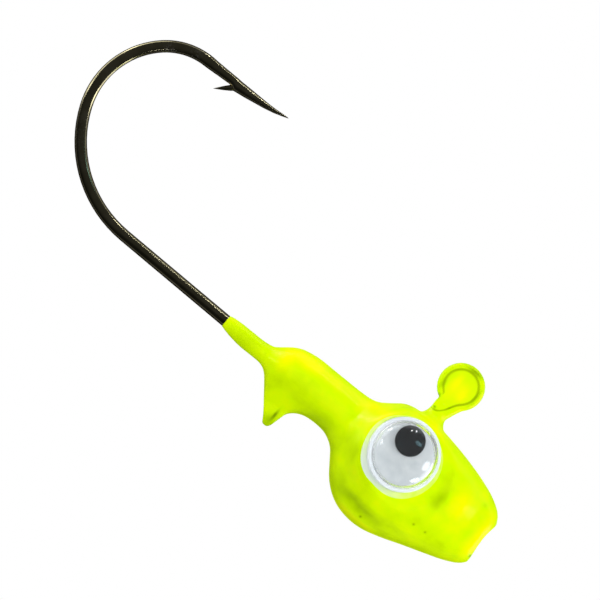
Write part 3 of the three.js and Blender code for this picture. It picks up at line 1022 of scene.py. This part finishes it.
def mix(mat, share, a, b):
    node = add(mat, "ShaderNodeMix")
    node.data_type = "RGBA"
    if hasattr(share, "links"):
        link(mat, share, node.inputs["Factor"])
    else:
        node.inputs["Factor"].default_value = share
    for value, key in ((a, "A"), (b, "B")):
        socket = [s for s in node.inputs if s.name == key and s.type == "RGBA"][0]
        if hasattr(value, "links"):
            link(mat, value, socket)
        else:
            socket.default_value = (*value, 1)
    return [s for s in node.outputs if s.type == "RGBA"][0]


def bump(mat, height, strength, depth, shader):
    node = add(mat, "ShaderNodeBump", Strength=strength, Distance=depth * MM)
    link(mat, height, node.inputs["Height"])
    link(mat, node.outputs["Normal"], shader.inputs["Normal"])


def bronzed_wire():
    mat, shader = material("bronzed_wire")
    if shader is None:
        return mat
    place = in_millimetres(mat)
    cloud = noise_pattern(mat, place, 1.1, 4)
    tones = ((0.3, (0.27, 0.25, 0.15)), (0.55, (0.34, 0.31, 0.19)), (0.75, (0.42, 0.39, 0.27)))
    bronze = ramp(mat, cloud, tones)
    scratch = ramp(mat, noise_pattern(mat, place, 9.0, 4, 0.7), ((0.5, BLACK), (0.62, WHITE)))
    wear = product(mat, stored(mat, "rubbed"), scratch)
    link(mat, mix(mat, wear, bronze, (0.75, 0.74, 0.68)), shader.inputs["Base Color"])
    shader.inputs["Metallic"].default_value = 1.0
    shader.inputs["Specular Tint"].default_value = (1.0, 0.84, 0.5, 1)
    dull = scale_and_add(mat, wear, 0.35, levels(mat, cloud, 0.13, 0.19))
    link(mat, dull.outputs[0], shader.inputs["Roughness"])
    return mat


# From olive to yellow: the paint's random mottling, darkened by painted shade and lightened by painted
# highlights
PAINT_TONES = (
    (0.05, (0.15, 0.25, 0.0)),
    (0.32, (0.42, 0.66, 0.0)),
    (0.5, (0.60, 0.87, 0.0)),
    (0.68, (0.78, 0.94, 0.0)),
    (0.88, (0.92, 0.97, 0.0)),
)


def chartreuse_paint():
    mat, shader = material("chartreuse_paint")
    if shader is None:
        return mat
    place = in_millimetres(mat)
    cloud = noise_pattern(mat, place, 0.6, 4)
    # The paint's random mottling, pushed to olive by the painted shade and to yellow by the painted
    # highlights stored on the piece
    blend = scale_and_add(mat, stored(mat, "light_shade_and_specks"), -0.35, levels(mat, cloud, 0.32, 0.68))
    body = ramp(mat, blend.outputs[0], PAINT_TONES)
    # Painted shade: the creases mixed towards dark olive
    share = ramp(mat, stored(mat, "crease"), ((0.1, BLACK), (0.9, WHITE)))
    colour = mix(mat, share, body, (0.2, 0.3, 0.0))
    link(mat, colour, shader.inputs["Base Color"])
    # Painted highlight: the paint's glow brightened towards yellow-white where the surface is seen
    # edge-on
    facing = add(mat, "ShaderNodeLayerWeight", Blend=0.25)
    painted_rim_glow = ramp(mat, facing.outputs["Facing"], ((0.45, BLACK), (0.95, WHITE)))
    link(mat, mix(mat, painted_rim_glow, colour, (2.4, 2.9, 0.05)), shader.inputs["Emission Color"])
    # The paint glows this much all over, for its fluorescence: a painted glow that lifts its shade
    shader.inputs["Emission Strength"].default_value = 0.22
    shader.inputs["IOR"].default_value = 1.32
    link(mat, levels(mat, cloud, 0.16, 0.3), shader.inputs["Roughness"])
    shader.inputs["Specular Tint"].default_value = (1.0, 0.95, 0.08, 1)
    peel = noise_pattern(mat, place, 1.6, 2)
    bump(mat, peel, 0.35, 0.05, shader)
    return mat


def white_sheet():
    mat, shader = material("white_sheet")
    if shader is None:
        return mat
    place = in_millimetres(mat)
    cloud = noise_pattern(mat, place, 1.4, 3)
    # The white sheet's face painted pearly grey and mottled: painted shade under the dome; its rim stays
    # white
    face = ramp(mat, cloud, ((0.3, (0.60, 0.65, 0.67)), (0.7, (0.72, 0.76, 0.77))))
    colour = mix(mat, stored(mat, "rim"), face, (0.90, 0.96, 1.0))
    link(mat, colour, shader.inputs["Base Color"])
    link(mat, levels(mat, cloud, 0.3, 0.45), shader.inputs["Roughness"])
    return mat


def clear_plastic():
    mat, shader = material("clear_plastic")
    if shader is None:
        return mat
    place = in_millimetres(mat)
    shader.inputs["Base Color"].default_value = (0.97, 0.985, 1.0, 1)
    shader.inputs["Transmission Weight"].default_value = 1.0
    shader.inputs["IOR"].default_value = 1.45
    ripple = noise_pattern(mat, place, 0.9, 2)
    haze = scale_and_add(mat, stored(mat, "frost"), 0.35, levels(mat, ripple, 0.02, 0.09))
    link(mat, haze.outputs[0], shader.inputs["Roughness"])
    bump(mat, ripple, 0.2, 0.03, shader)
    return mat


def black_disc():
    mat, shader = material("black_disc")
    if shader is None:
        return mat
    place = in_millimetres(mat)
    fleck = noise_pattern(mat, place, 3.0, 4)
    colour = ramp(mat, fleck, ((0.45, (0.001, 0.001, 0.0015)), (0.75, (0.006, 0.014, 0.017))))
    link(mat, colour, shader.inputs["Base Color"])
    link(mat, levels(mat, fleck, 0.06, 0.2), shader.inputs["Roughness"])
    bump(mat, fleck, 0.15, 0.01, shader)
    return mat


def clear_adhesive():
    mat, shader = material("clear_adhesive")
    if shader is None:
        return mat
    place = in_millimetres(mat)
    cloud = noise_pattern(mat, place, 1.2, 3)
    yellow = ramp(mat, cloud, ((0.3, (0.66, 0.88, 0.06)), (0.7, (0.80, 0.95, 0.24))))
    tint = mix(mat, stored(mat, "pale"), yellow, (0.80, 0.88, 0.84))
    link(mat, tint, shader.inputs["Base Color"])
    # The adhesive glows a little in its own tint: a painted glow that lifts it out of the eye's shade
    link(mat, tint, shader.inputs["Emission Color"])
    shader.inputs["Emission Strength"].default_value = 0.2
    link(mat, levels(mat, cloud, 0.08, 0.2), shader.inputs["Roughness"])
    shader.inputs["Transmission Weight"].default_value = 0.12
    shader.inputs["IOR"].default_value = 1.45
    bump(mat, cloud, 0.3, 0.04, shader)
    return mat


def cast_lead():
    mat, shader = material("cast_lead")
    if shader is None:
        return mat
    place = in_millimetres(mat)
    cloud = noise_pattern(mat, place, 1.5, 4)
    colour = ramp(mat, cloud, ((0.3, (0.25, 0.26, 0.27)), (0.7, (0.42, 0.43, 0.44))))
    link(mat, colour, shader.inputs["Base Color"])
    shader.inputs["Metallic"].default_value = 1.0
    link(mat, levels(mat, cloud, 0.45, 0.65), shader.inputs["Roughness"])
    return mat


# ---- camera, floor and light


CAMERA_ROLL = math.radians(40)
IMAGE_UP = Vector((-math.sin(CAMERA_ROLL), 0, math.cos(CAMERA_ROLL)))
VIEW_CENTRE = Vector((-14.23, 0, -2.93)) * MM
VIEW_WIDTH = 47.62 * MM
CAMERA_AWAY = 0.8
FLOOR_DROP = 1.3


def camera():
    data = bpy.data.cameras.new("camera")
    data.sensor_width = 36
    data.lens = data.sensor_width * CAMERA_AWAY / VIEW_WIDTH
    data.clip_start = 0.005
    data.clip_end = 20
    obj = bpy.data.objects.new("camera", data)
    bpy.context.scene.collection.objects.link(obj)
    back = Vector((0, -1, 0))
    right = IMAGE_UP.cross(back)
    turn = Matrix((right, IMAGE_UP, back)).transposed().to_4x4()
    obj.matrix_world = Matrix.Translation(VIEW_CENTRE + back * CAMERA_AWAY) @ turn
    bpy.context.scene.camera = obj


def softbox(name, place, aim, size, radiance, shines=True):
    """A round light of one brightness over its face; one that doesn't shine only fills the shade."""
    data = bpy.data.lights.new(name, "AREA")
    data.shape = "ELLIPSE"
    data.size, data.size_y = size
    data.energy = math.pi * (math.pi / 4 * size[0] * size[1]) * radiance
    obj = bpy.data.objects.new(name, data)
    bpy.context.scene.collection.objects.link(obj)
    look = (Vector(aim) - Vector(place)).to_track_quat("-Z", "Y")
    obj.matrix_world = Matrix.Translation(place) @ look.to_matrix().to_4x4()
    obj.visible_camera = False
    obj.visible_glossy = shines
    obj.visible_transmission = shines
    return data


# Brightness of the tent from in front of the head (-1) to behind it (1)
TENT_DEPTH = (
    (-1, 0.06),
    (-0.4, 0.07),
    (-0.2, 0.15),
    (-0.05, 0.75),
    (0.12, 0.75),
    (0.3, 0.15),
    (0.5, 0.05),
    (1, 0.05),
)
# Its share of that from below the head to above it: heights, then shares
TENT_RISE = (-0.55, 0.15)
TENT_SHARE = (0.3, 1.15)
SEEN_THROUGH = 0.4  # how much of the tent's white is seen through the clear domes


def tent_light(world):
    """How bright the tent is in each direction: bright behind and above, dim towards the camera."""
    coords = add(world, "ShaderNodeTexCoord")
    split = add(world, "ShaderNodeSeparateXYZ")
    link(world, coords.outputs["Generated"], split.inputs["Vector"])
    across = add(world, "ShaderNodeMapRange", From_Min=-1.0)
    link(world, split.outputs["Y"], across.inputs["Value"])
    stops = [((at + 1) / 2, (value,) * 3) for at, value in TENT_DEPTH]
    depth = ramp(world, across.outputs["Result"], stops)
    height = add(
        world,
        "ShaderNodeMapRange",
        From_Min=TENT_RISE[0],
        From_Max=TENT_RISE[1],
        To_Min=TENT_SHARE[0],
        To_Max=TENT_SHARE[1],
    )
    height.interpolation_type = "SMOOTHSTEP"
    link(world, split.outputs["Z"], height.inputs["Value"])
    return product(world, depth, height.outputs["Result"])


def tent():
    """A white tent: it lights the head as tent_light says, and is plain white where it is seen."""
    world = bpy.data.worlds.new("tent")
    bpy.context.scene.world = world
    world.use_nodes = True
    world.node_tree.nodes.clear()
    glow = add(world, "ShaderNodeBackground")
    link(world, tent_light(world), glow.inputs["Strength"])
    seen = add(world, "ShaderNodeBackground")
    seen.inputs["Color"].default_value = (1, 1, 1, 1)
    ray = add(world, "ShaderNodeLightPath")
    through = scale_and_add(
        world, ray.outputs["Is Transmission Ray"], SEEN_THROUGH, ray.outputs["Is Camera Ray"]
    )
    through.use_clamp = True
    choose = add(world, "ShaderNodeMixShader")
    link(world, through.outputs[0], choose.inputs["Fac"])
    link(world, glow.outputs[0], choose.inputs[1])
    link(world, seen.outputs[0], choose.inputs[2])
    output = add(world, "ShaderNodeOutputWorld")
    link(world, choose.outputs[0], output.inputs["Surface"])


# Lamps that shine in the wire, the paint and the eyes: (name, place from the eye, size, brightness)
LAMPS = (
    ("left_upper", (-0.411, -0.117, -0.047), (0.1, 0.1), 6.0),
    ("left_lower", (-0.38, 0.073, 0.188), (0.09, 0.09), 6.0),
    ("right_upper", (0.392, -0.121, 0.13), (0.17, 0.15), 6.0),
    ("right_lower", (0.405, -0.038, -0.139), (0.15, 0.14), 6.0),
    ("fore_box", (0.44, 0.1, 0.0), (0.34, 0.42), 2.2),
    ("rear_box", (-0.44, 0.08, 0.12), (0.3, 0.68), 1.5),
    ("glint_left", (-0.067, -0.137, 0.402), (0.03, 0.03), 28.0),
    ("glint_right", (0.004, -0.113, 0.415), (0.035, 0.035), 28.0),
    ("low_glint_left", (0.131, -0.37, -0.176), (0.012, 0.012), 30.0),
    ("low_glint_right", (0.178, -0.348, -0.179), (0.01, 0.01), 30.0),
)
# A window that shines in the pupils
WINDOW = ("window", (0.163, -0.276, 0.287), (0.09, 0.06), 2.5)
WINDOW_BLUE = (0.45, 0.9, 1.0)
# Large lights that only fill the shade: (name, place from the middle, size, brightness)
FILLS = (
    ("front_fill", (0.0, -0.5, 0.0), (0.56, 0.56), 2.6),
    ("top_fill", (-0.1, 0.05, 0.5), (0.56, 0.45), 1.8),
    ("back_fill", (0.0, 0.5, 0.1), (0.56, 0.45), 1.5),
)


def studio():
    tent()
    centre = VIEW_CENTRE
    eye_at = Vector(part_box("eye_dome_right")[0]) + Vector((EYE_R, 0, EYE_R)) * MM
    for name, place, size, radiance in LAMPS:
        softbox(name, eye_at + Vector(place), eye_at, size, radiance)
    name, place, size, radiance = WINDOW
    window = softbox(name, eye_at + Vector(place), eye_at, size, radiance)
    window.color = WINDOW_BLUE
    for name, place, size, radiance in FILLS:
        softbox(name, centre + Vector(place), centre, size, radiance, shines=False)
    deselect_all()
    bpy.ops.mesh.primitive_plane_add(size=6, location=(0, 0, centre.z - FLOOR_DROP))
    floor = bpy.context.object
    floor.name = "floor"
    mat, shader = material("pale_floor")
    shader.inputs["Base Color"].default_value = (0.9, 0.9, 0.9, 1)
    shader.inputs["Roughness"].default_value = 0.9
    floor.data.materials.append(mat)
    floor.visible_glossy = False
    bpy.context.scene.view_settings.view_transform = "Standard"


camera()
studio()
joints = {joint["child"]: joint for joint in frame["joints"]}
eye_seats = [seat_matrix(joints[f"pupil_{side}"]) for side in ("right", "left")]
hook()
lead_body(eye_seats)
paint_coat(eye_seats)
for side in ("right", "left"):
    eye(side, joints[f"pupil_{side}"])
